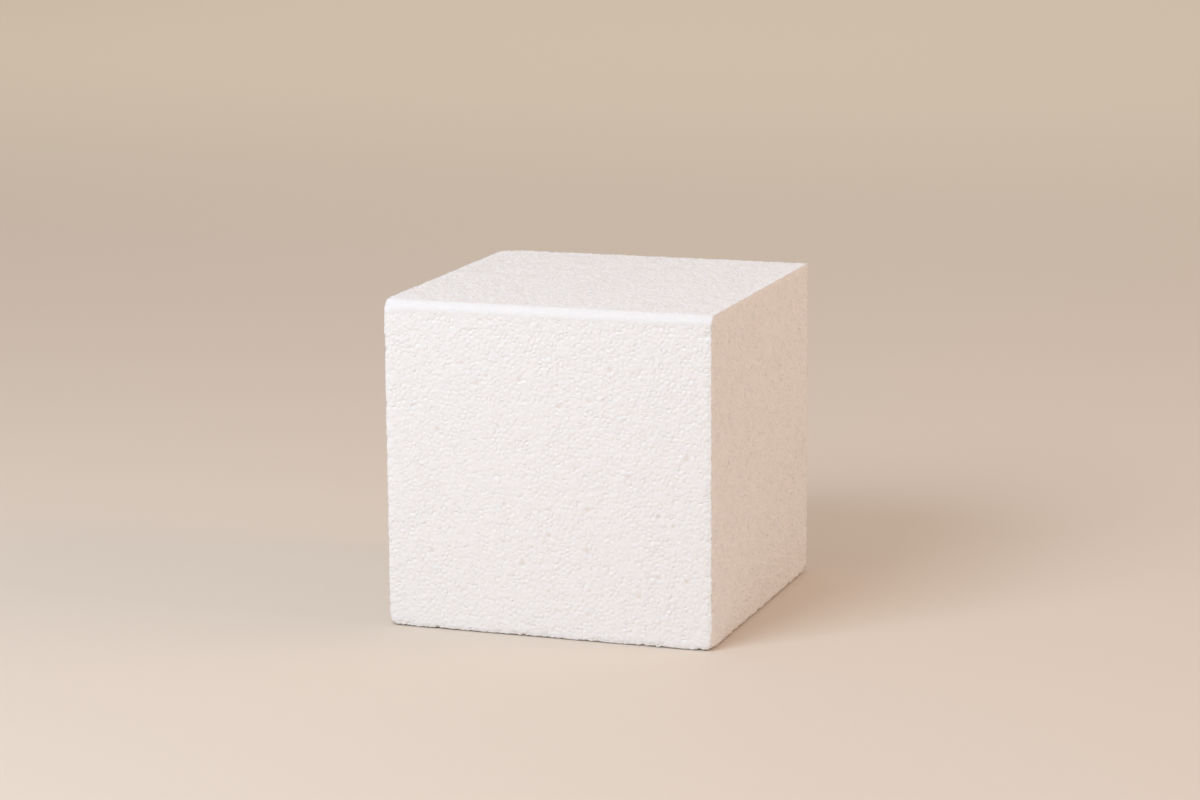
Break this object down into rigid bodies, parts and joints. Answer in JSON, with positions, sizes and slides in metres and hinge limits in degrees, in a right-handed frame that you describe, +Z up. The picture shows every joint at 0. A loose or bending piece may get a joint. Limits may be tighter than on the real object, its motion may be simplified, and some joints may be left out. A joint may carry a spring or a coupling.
{
  "type": "foam block",
  "caption": "White expanded bead foam block, nearly a cube, with one pressed top edge, a soft back corner, small sockets and edge chips, for packing, propping, pinning and model making.",
  "frame": {"origin": "middle of the base, on the surface that the block stands on", "axes": "+Z up from the base to the top; the front face looks along -Y and the right face along +X"},
  "size_m": [0.15, 0.15, 0.146],
  "materials": {
    "white_foam": "matte white expanded bead foam, a close relief of rounded beads with shallow creases between them"
  },
  "bodies": {
    "root": {"foam_block": "white_foam"}
  },
  "joints": []
}
